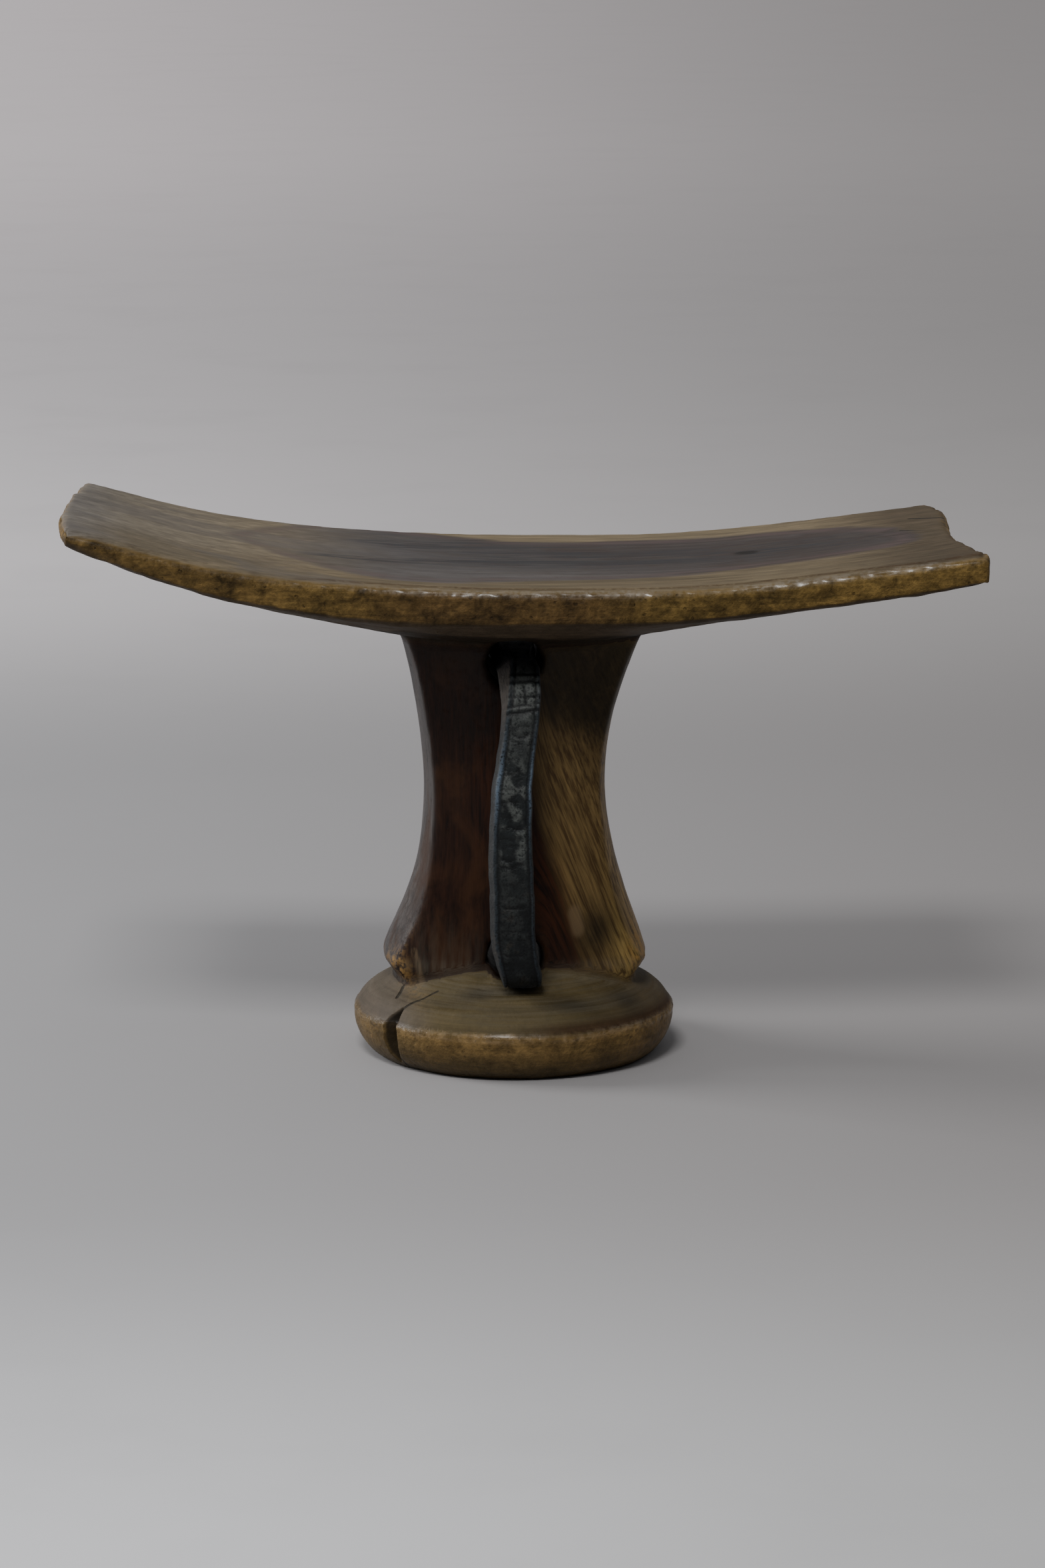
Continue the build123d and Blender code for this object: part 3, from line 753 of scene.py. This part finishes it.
def build_strap():
    route = through(STRAP_ROUTE, STRAP_STEP)
    line = route[:, :2]
    slope = np.gradient(line, axis=0)
    slope /= np.linalg.norm(slope, axis=1)[:, None]
    outward = np.stack((slope[:, 1], -slope[:, 0]), axis=1)
    length = distance_along(line)

    def station(y, z):
        return length[np.argmin(np.hypot(line[:, 0] - y, line[:, 1] - z))]

    def fade(start, end, at):
        """0 before the line's place nearest to start, 1 after the one nearest to end."""
        return ease(station(*start), station(*end), at)

    # The ring round the strap: outer face, right side, inner face and left side. across runs from
    # the left side to the right one, above is the height over the middle line.
    across_share = np.concatenate((
        np.linspace(0, 1, OUTER_COUNT, endpoint=False), np.full(RIGHT_COUNT, 1.0),
        np.linspace(1, 0, INNER_COUNT, endpoint=False), np.full(LEFT_COUNT, 0.0),
    ))
    above_share = np.concatenate((
        np.full(OUTER_COUNT, 1.0), np.linspace(1, -1, RIGHT_COUNT, endpoint=False),
        np.full(INNER_COUNT, -1.0), np.linspace(-1, 1, LEFT_COUNT, endpoint=False),
    ))
    ring = len(across_share)
    count = len(route)
    left, right, thickness, raw_cut = (route[:, k][:, None] for k in (2, 3, 4, 5))
    outer = (1 + above_share[None, :]) / 2
    low_x = left + raw_cut * outer
    high_x = right - 0.5 * outer
    x = low_x + (high_x - low_x) * across_share[None, :]
    above = thickness / 2 * above_share[None, :] * np.ones((count, 1))
    for _ in range(2):      # rounds the corners
        x = x + 0.25 * (np.roll(x, 1, 1) + np.roll(x, -1, 1) - 2 * x)
        above = above + 0.25 * (np.roll(above, 1, 1) + np.roll(above, -1, 1) - 2 * above)
    s = np.repeat(length[:, None], ring, axis=1)

    flat_s, flat_x, flat_above = s.ravel(), x.ravel(), above.ravel()
    outer_face = ease(0.35, 0.9, (above / thickness * 2)).ravel()
    from_left = (x - low_x).ravel()
    from_right = (high_x - x).ravel()
    wander = 0.35 * fractal(flat_s / 9, flat_x / 30, 0, 53, 2)

    # Creased borders, tooled lines near the top, and cracks across that grow down the handle.
    creases = np.maximum(
        groove(from_left - 1.25 - 0.3 * wander, 0.55), groove(from_right - 1.2 + 0.3 * wander, 0.55))
    tooled = np.zeros(len(flat_s))
    top_s = station(-32.0, 114.0)
    second_s = station(-35.3, 107.0)
    tilt = 0.13 * (flat_x + 1.0)
    for pair_s, tilted, lines in (
        (top_s, 0, ((-1.5, 0.55), (0.6, 0.75))), (second_s, tilt, ((-1.2, 0.5), (0.6, 0.9))),
    ):
        for offset, width in lines:
            tooled = np.maximum(tooled, groove(flat_s - (pair_s + offset) + tilted - 0.5 * wander, width))
    ridges = groove(flat_s - top_s + 0.5, 0.9) + groove(flat_s - second_s + 0.4 + tilt, 0.8)
    blocks = ease(top_s + 1.2, top_s + 1.8, flat_s) * ease(second_s - 1.2, second_s - 1.8, flat_s)
    block_cuts = np.maximum.reduce((
        groove(flat_s - (top_s + second_s) / 2 - wander * 1.5, 0.6),
        groove(flat_x + 2.6 + wander, 0.5), groove(flat_x - 1.0 - wander, 0.5),
    ))
    cracks = np.zeros(len(flat_s))
    rng = np.random.default_rng(11)
    at = second_s + 4.5
    end_s = station(-37.0, 36.0)
    while at < end_s:
        bend = 0.9 * fractal(flat_x / 3.2, np.full(len(flat_x), at), 0, 59, 2)
        reach = ease(0.5, 1.4, from_left - 1.1) * ease(0.3, 1.2, from_right - 1.2 - 2.5 * rng.random())
        depth, width = rng.uniform(0.45, 1.0), rng.uniform(0.5, 0.95)
        cracks = np.maximum(cracks, depth * groove(flat_s - at - bend, width) * reach)
        at += rng.uniform(2.2, 5.4)
    hide = fractal(flat_s / 2.4, flat_x / 2.0, flat_above / 2, 61, 2)
    handle = fade((-19, 118), (-30, 115), flat_s)
    handle *= fade((-26, 28.6), (-36, 31), flat_s)
    middle = fractal((flat_s + 0.7 * flat_x) / 4.0, (flat_x - 0.7 * flat_s) / 3.6, 3.3, 67, 2)
    middle = ease(-0.20, 0.30, middle) * ease(0.8, 2.4, from_left) * ease(0.8, 2.4, from_right)
    lift = outer_face * (
        -0.32 * creases - 0.42 * tooled * handle + 0.12 * ridges * handle - 0.34 * blocks * block_cuts
        - 0.34 * cracks + 0.30 * middle * handle + 0.10 * hide
    )
    for stitch in STITCHES:
        for slit in STITCH_X:
            for y_layer in STRAP_LAYERS_Y:
                near = patch(flat_s, flat_x, (station(y_layer, stitch), slit), (1.5, 0.8))
                lift -= 0.5 * near * ease(0.0, 0.5, np.abs(flat_above))
    lift += (1 - outer_face) * 0.05 * fractal(flat_s / 1.4, flat_x / 1.2, flat_above / 1.2, 71, 2)

    sway = 0.22 * fractal(length / 17, 0, 0, 73, 2)
    edge_sway = 0.16 * fractal(flat_s / 6, np.sign(flat_x), 0, 79, 2)
    shift = above + lift.reshape(count, ring) * np.sign(above_share + 0.01)[None, :]
    sway *= fade((-19, 118), (-34, 112), length)
    sway *= fade((-26, 28.6), (-37, 34), length)
    yz = line[:, None, :] + outward[:, None, :] * (shift + sway[:, None])[:, :, None]
    places = np.concatenate(((x.ravel() + edge_sway)[:, None], yz.reshape(-1, 2)), axis=1)

    faces = []
    for i in range(count - 1):
        for j in range(ring):
            k = (j + 1) % ring
            faces.append((i * ring + j, (i + 1) * ring + j, (i + 1) * ring + k, i * ring + k))
    for first, inwards in ((0, 1), ((count - 1) * ring, -1)):
        rim = list(range(first, first + ring))
        centre = places[rim].mean(axis=0)
        inner_rim = len(places)
        direction = places[first] - places[first + inwards * ring]
        direction /= np.linalg.norm(direction)
        places = np.vstack((places, centre + 0.72 * (places[rim] - centre) + 0.45 * direction))
        for j in range(ring):
            k = (j + 1) % ring
            faces.append((rim[j], rim[k], inner_rim + k, inner_rim + j)[::inwards])
        cap = tuple(range(inner_rim, inner_rim + ring))
        faces.append(cap[::inwards])

    strap = make_mesh("strap", places, faces, closed=True)
    mesh = strap.data

    def ends(values, end_value=None):
        """values with those of the two ends' inner rims: end_value, or the values beside them."""
        if end_value is None:
            return np.concatenate((values, values[:ring], values[-ring:]))
        return np.concatenate((values, np.full(2 * ring, end_value)))

    along = ends(flat_s)
    store(mesh, "hide", np.stack((along, ends(flat_x), ends(flat_above)), axis=1))
    between_faces = np.abs(above_share) < 0.99
    cut = np.tile(((across_share == 0) + 0.45 * (across_share == 1)) * between_faces, count)
    strength = 0.12 + 0.88 * fade((-36.4, 99), (-34.6, 109), flat_s)
    flat_y = np.repeat(line[:, 0], ring)
    # Painted shade on the strap where it runs inside the holes.
    inside = ease(-22.5, -17, flat_y) * ease(23.5, 18, flat_y)
    store(mesh, "inside", ends(inside, 0.0))
    store(mesh, "raw", ends(cut * strength, 0.7))
    # Painted shade in the grooves, cuts and cracks.
    sunk = outer_face * np.maximum.reduce((creases, tooled * handle, blocks * block_cuts, cracks))
    store_share(mesh, "crease_shade", ends(sunk, 0.0))
    pale_part = fade((-36.3, 98), (-38.3, 86), flat_s)
    pale_part = 0.18 + 0.82 * pale_part * fade((-38.6, 58), (-38.9, 68), flat_s)
    # The handle's upper part, which the rest's overhang shades, gets painted light on top of its wear.
    upper = fade((-37.6, 89), (-36.4, 99), flat_s)
    upper *= ease(0.8, 1.6, from_left) * ease(0.8, 1.6, from_right)
    worn = 0.85 * blocks * (1 - block_cuts) + middle * pale_part + 0.6 * ridges + 0.35 * upper
    store_share(mesh, "worn", ends(outer_face * handle * worn, 0.0))
    lower = fade((-38.9, 66), (-37.6, 42), flat_s) * handle
    store(mesh, "lower", ends(lower, 0.0))
    # Painted bluish highlights along the handle's edges, strongest on its upper middle.
    edge_highlight = np.maximum(groove(from_left - 0.5, 0.9), groove(from_right - 0.5, 0.8)) * handle * outer_face
    edge_highlight = edge_highlight * (0.12 + 0.88 * np.exp(-((flat_s - station(-38.0, 86)) / 10.0) ** 2))
    store_share(mesh, "edge_highlight", ends(edge_highlight, 0.0))

    mesh.materials.append(strap_material())
    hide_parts("strap_handle", "strap_back")
    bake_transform(strap)
    return strap


def strap_material():
    g = Graph("black_hide")
    hide = g.kept("hide", "Vector")
    raw, crease_shade, worn, lower, edge_highlight, inside = map(g.kept, ("raw", "crease_shade", "worn", "lower", "edge_highlight", "inside"))
    pebble = g.noise(hide, 1.5, 4, 0.6)
    cloud = g.noise(hide, 0.22, 3, 0.55)
    fibre = g.noise(g.vector("MULTIPLY", hide, (0.35, 2.6, 2.6)), 1.0, 4, 0.65)
    g.colour = g.mix(g.span(cloud, 0.35, 0.68), (0.0055, 0.0068, 0.0070), (0.0160, 0.0195, 0.0195))
    spots = g.plus(g.times(pebble, 0.5), g.times(g.noise(hide, 0.50, 2), 0.5))
    # Pale worn patches, with painted light on the handle's upper part.
    scuffed = g.times(worn, g.span(spots, 0.36, 0.52))
    g.paint((0.108, 0.116, 0.106), scuffed, 0.75)
    brown = g.times(lower, g.span(cloud, 0.52, 0.66))
    g.paint((0.030, 0.023, 0.016), brown, 0.6)
    blackened = g.times(g.span(pebble, 0.52, 0.36), g.plus(0.35, g.times(lower, 0.45)))
    g.paint((0.0030, 0.0030, 0.0032), blackened)
    # Painted bluish highlights along the handle's edges.
    g.paint((0.120, 0.165, 0.220), edge_highlight, g.span(pebble, 0.32, 0.52), 0.85)
    # Painted shade in the grooves, cuts and cracks.
    g.paint((0.0012, 0.0012, 0.0014), crease_shade, 0.85)
    g.paint((0.088, 0.074, 0.062), raw, g.span(fibre, 0.18, 0.60))
    # Painted shade where the strap runs inside the holes.
    g.paint((0.0018, 0.0017, 0.0016), inside, 0.75)
    uneven = g.times(g.math("SUBTRACT", pebble, 0.5), 0.25)
    roughness = g.plus(0.42, g.times(lower, 0.22), g.times(raw, 0.38), uneven)
    height = g.plus(g.times(pebble, 0.28), g.times(fibre, raw, 0.35), g.times(g.cells(hide, 1.1), 0.08))
    g.bump(height, 1.0, 0.9)
    g.shader.inputs["Specular IOR Level"].default_value = 0.28
    g.shader.inputs["Sheen Weight"].default_value = 0.04
    g.shader.inputs["Sheen Roughness"].default_value = 0.4
    g.shader.inputs["Sheen Tint"].default_value = (0.70, 0.82, 1.0, 1.0)
    return g.finish(roughness)


# ================================================================ the lacing
THONG_WIDTH, THONG_THICKNESS, THONG_STEP = 2.6, 1.2, 0.5
# Before, between and behind the two layers of strap.
INNER_Y, LAYERS_Y, OUTER_Y = 22.6, 27.3, 32.0
KNOT = (HOLE_X - 2.9, 33.7, 61.4)


def band(points, widths, closed=False, facing=None):
    """A flat thong along points: its vertices and faces. facing gives the way its flat side looks."""
    points = np.asarray(points, float)
    count = len(points)
    if closed:
        slope = np.roll(points, -1, axis=0) - np.roll(points, 1, axis=0)
    else:
        slope = np.gradient(points, axis=0)
    slope /= np.linalg.norm(slope, axis=1)[:, None]
    facing = np.asarray(facing, float) * np.ones((count, 1))
    facing -= (facing * slope).sum(axis=1)[:, None] * slope
    facing /= np.maximum(np.linalg.norm(facing, axis=1), 1e-9)[:, None]
    sideways = np.cross(slope, facing)
    turn = full_turn(14)
    ring_side = np.sign(np.cos(turn)) * np.abs(np.cos(turn)) ** 0.45
    ring_face = np.sign(np.sin(turn)) * np.abs(np.sin(turn)) ** 0.75
    widths = np.asarray(widths, float) * np.ones(count)
    places = (
        points[:, None, :]
        + sideways[:, None, :] * (widths[:, None] / 2 * ring_side)[:, :, None]
        + facing[:, None, :] * (THONG_THICKNESS / 2 * ring_face)[None, :, None]
    ).reshape(-1, 3)
    ring = len(turn)
    faces = []
    for i in range(count if closed else count - 1):
        for j in range(ring):
            a, b, k = i, (i + 1) % count, (j + 1) % ring
            faces.append((a * ring + j, a * ring + k, b * ring + k, b * ring + j))
    if not closed:
        faces.append(tuple(range(ring))[::-1])
        faces.append(tuple((count - 1) * ring + j for j in range(ring)))
    distance = distance_along(points)
    along = np.stack((
        np.repeat(distance, ring), np.tile(ring_side * 1.3, count), np.tile(ring_face * 0.6, count),
    ), axis=1)
    return places, faces, along


def build_lacing():
    parts = []
    for number, height in enumerate(STITCHES):
        low_x, high_x = STITCH_X
        loop = [
            (low_x, LAYERS_Y), (low_x + 0.1, OUTER_Y - 0.9), (low_x + 0.9, OUTER_Y + 0.1),
            (HOLE_X, OUTER_Y + 0.25), (high_x - 0.9, OUTER_Y + 0.1), (high_x - 0.1, OUTER_Y - 0.9),
            (high_x, LAYERS_Y), (high_x - 0.1, INNER_Y + 0.9), (high_x - 0.9, INNER_Y),
            (HOLE_X, INNER_Y - 0.05), (low_x + 0.9, INNER_Y), (low_x + 0.1, INNER_Y + 0.9), (low_x, LAYERS_Y),
        ]
        ring = through(loop, THONG_STEP)[:-1]
        skew = 0.25 * np.sin(number * 2.1 + ring[:, 0])
        points = np.column_stack((ring, height + skew))
        widths = THONG_WIDTH * (0.96 + 0.05 * np.sin(ring[:, 0] * 1.7 + number))
        parts.append(band(points, widths, True, points - np.array((HOLE_X, LAYERS_Y, height))))
    for number, (lower, upper) in enumerate(zip(STITCHES, STITCHES[1:])):
        rows = [
            (STITCH_X[0] + 0.1, lower - 0.2, OUTER_Y - 1.4), (STITCH_X[0] + 0.35, lower + 0.6, OUTER_Y + 0.7),
            (HOLE_X - 0.3, (lower + upper) / 2 + 0.3, OUTER_Y + 0.85 + 0.15 * number),
            (STITCH_X[1] - 0.35, upper - 0.6, OUTER_Y + 0.7), (STITCH_X[1] - 0.1, upper + 0.2, OUTER_Y - 1.4),
        ]
        points = through(rows, THONG_STEP)[:, (0, 2, 1)]
        parts.append(band(points, THONG_WIDTH * 0.9, False, (0, 1, 0)))
    turn = full_turn(60)
    knot = np.stack((
        KNOT[0] + 0.62 * (np.sin(turn) + 1.6 * np.sin(2 * turn)),
        KNOT[1] - 0.75 * np.sin(3 * turn),
        KNOT[2] + 0.62 * (np.cos(turn) - 1.6 * np.cos(2 * turn)),
    ), axis=1)
    parts.append(band(knot, 1.9, True, knot - np.array(KNOT)))
    for number, (lean, bow) in enumerate(((-0.16, 0.7), (0.26, -0.5))):
        rows = [
            (KNOT[0], KNOT[2] - 0.2, KNOT[1] - 0.1), (KNOT[0] + lean * 3.0, KNOT[2] - 3.4, KNOT[1] + 0.3),
            (KNOT[0] + lean * 7.0 + bow * 0.4, KNOT[2] - 7.4, KNOT[1] + 0.2 - 0.5 * number),
            (KNOT[0] + lean * 12.4, KNOT[2] - 12.6 + number, KNOT[1] - 0.6),
        ]
        points = through(rows, THONG_STEP)[:, (0, 2, 1)]
        share = np.linspace(0, 1, len(points))
        widths = THONG_WIDTH * np.interp(share, (0, 0.2, 0.85, 1), (0.7, 0.95, 0.9, 0.45))
        sideways = 0.5 * np.sin(2.2 * share + number)
        facing = np.column_stack((sideways, np.ones(len(points)), np.zeros(len(points))))
        parts.append(band(points, widths, False, facing))
    places, faces, along, start = [], [], [], 0
    for part_places, part_faces, part_along in parts:
        faces += [tuple(v + start for v in face) for face in part_faces]
        places.append(part_places)
        along.append(part_along + (len(places) * 37.0, 0, 0))
        start += len(part_places)
    lacing = make_mesh("lacing", np.vstack(places), faces, closed=True)
    mesh = lacing.data
    store(mesh, "hide", np.vstack(along))
    g = Graph("thong_hide")
    hide = g.kept("hide", "Vector")
    fibre = g.noise(g.vector("MULTIPLY", hide, (0.5, 2.5, 2.5)), 1.0, 4, 0.6)
    cloud = g.noise(hide, 0.35, 3, 0.5)
    g.colour = g.mix(g.span(cloud, 0.35, 0.65), (0.040, 0.024, 0.015), (0.092, 0.060, 0.040))
    g.paint((0.140, 0.105, 0.075), g.span(fibre, 0.35, 0.7), 0.35)
    g.bump(fibre, 0.25, 0.8)
    mesh.materials.append(g.finish(g.plus(0.55, g.times(cloud, 0.2))))
    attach(lacing, "headrest")
    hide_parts("strap_lacing")
    return lacing


# ================================================================ camera, floor and light
CAMERA_DISTANCE = 1.5027          # level distance from the foot's centre
CAMERA_HEIGHT = 0.3749
CAMERA_TURN = math.radians(3.3)   # the camera stands a little to the left of the handle's side
CAMERA_SHIFT_RIGHT = 0.0026
CAMERA_PITCH = math.radians(11.15)
CAMERA_LENS = 120.3


def add_camera():
    data = bpy.data.cameras.new("camera")
    data.lens = CAMERA_LENS
    data.sensor_width = 36.0
    camera = put_in_scene("camera", data)
    right = Vector((math.cos(CAMERA_TURN), -math.sin(CAMERA_TURN), 0))
    ahead = Vector((math.sin(CAMERA_TURN), math.cos(CAMERA_TURN), 0))
    camera.location = -CAMERA_DISTANCE * ahead + CAMERA_SHIFT_RIGHT * right + Vector((0, 0, CAMERA_HEIGHT))
    camera.rotation_euler = (math.pi / 2 - CAMERA_PITCH, 0, -CAMERA_TURN)
    bpy.context.scene.camera = camera


FLOOR_SIDES, FLOOR_RADIUS = 64, 9000.0


def add_floor():
    """A wide pale floor with painted light: lighter beyond the object, towards the left and near the camera,
    and glowing farther off.
    """
    turn = full_turn(FLOOR_SIDES)
    ring = np.stack((np.cos(turn), np.sin(turn), np.zeros(FLOOR_SIDES)), axis=1) * FLOOR_RADIUS
    floor = make_mesh("floor", ring, [tuple(range(FLOOR_SIDES))])
    g = Graph("floor_painted_light")
    place = g.node("TexCoord").outputs["Object"]
    split = g.node("SeparateXYZ")
    g.feed(place, split.inputs[0])
    across, away = split.outputs[0], split.outputs[1]
    beyond = g.span(away, 0.42, 1.00)
    closer = g.span(away, -0.14, -0.46)
    rightward = g.math("DIVIDE", across, g.math("MAXIMUM", g.plus(away, 1.6), 1.1))
    rightward = g.math("SUBTRACT", g.span(rightward, -0.16, 0.16), 0.5)
    rightward = g.plus(0.5, g.times(rightward, g.span(away, -1.4, -0.5)))
    g.colour = g.mix(beyond, g.mix(rightward, (0.413, 0.405, 0.413), (0.309, 0.290, 0.284)),
                     g.mix(rightward, (0.70, 0.68, 0.69), (0.42, 0.40, 0.39)))
    g.paint(g.mix(rightward, (0.74, 0.735, 0.75), (0.44, 0.435, 0.43)), closer)
    clouds = g.noise(place, 9.0, 4, 0.6)
    g.paint((0.33, 0.32, 0.32), g.span(clouds, 0.45, 0.75, 0.0, 0.12))
    # A painted glow beyond the object and farther off, standing in for the light there.
    g.feed(g.mix(rightward, (0.30, 0.265, 0.27), (0.075, 0.068, 0.067)), g.shader.inputs["Emission Color"])
    farther = g.span(g.vector("LENGTH", place), 1.4, 3.8, 0.0, 0.98)
    g.feed(g.plus(g.times(beyond, 0.58), farther), g.shader.inputs["Emission Strength"])
    floor.data.materials.append(g.finish(0.9))


# Name, place, width and height in metres, and watts.
LIGHTS = (("key", (-0.34, -1.20, 1.60), (0.55, 0.40), 19), ("left", (-1.8, 0.5, 0.9), (0.9, 0.9), 28))
LIGHT_AIM = Vector((0, 0, 0.08))


def add_light(name, place, size, watts):
    data = bpy.data.lights.new(name, "AREA")
    data.shape = "RECTANGLE"
    data.size, data.size_y = size
    data.energy = watts
    light = put_in_scene(name, data)
    light.location = place
    light.rotation_euler = (LIGHT_AIM - Vector(place)).to_track_quat("-Z", "Y").to_euler()


# The room's light grows along an axis from low to high, up to a share of full strength.
ROOM_LIGHT = ((2, 0.10, 0.85, 0.35), (1, -0.10, 0.60, 0.12), (0, 0.30, -0.80, 0.12))
ROOM_DARKEST = 0.02


def add_world():
    """Soft light from above, behind and the left, with a darker room in front."""
    world = bpy.data.worlds.new("world")
    bpy.context.scene.world = world
    world.use_nodes = True
    tree = world.node_tree
    split = tree.nodes.new("ShaderNodeSeparateXYZ")
    tree.links.new(tree.nodes.new("ShaderNodeTexCoord").outputs["Generated"], split.inputs[0])
    strength = None
    for axis, low, high, share in ROOM_LIGHT:
        span = tree.nodes.new("ShaderNodeMapRange")
        span.interpolation_type = "SMOOTHSTEP"
        tree.links.new(split.outputs[axis], span.inputs[0])
        for socket, value in zip(span.inputs[1:5], (low, high, ROOM_DARKEST, share)):
            socket.default_value = value
        if strength is None:
            strength = span.outputs[0]
        else:
            total = tree.nodes.new("ShaderNodeMath")
            tree.links.new(strength, total.inputs[0])
            tree.links.new(span.outputs[0], total.inputs[1])
            strength = total.outputs[0]
    background = tree.nodes["Background"]
    background.inputs["Color"].default_value = (0.88, 0.90, 0.93, 1)
    tree.links.new(strength, background.inputs["Strength"])


build_body()
build_strap()
build_lacing()
add_camera()
add_floor()
for light in LIGHTS:
    add_light(*light)
add_world()
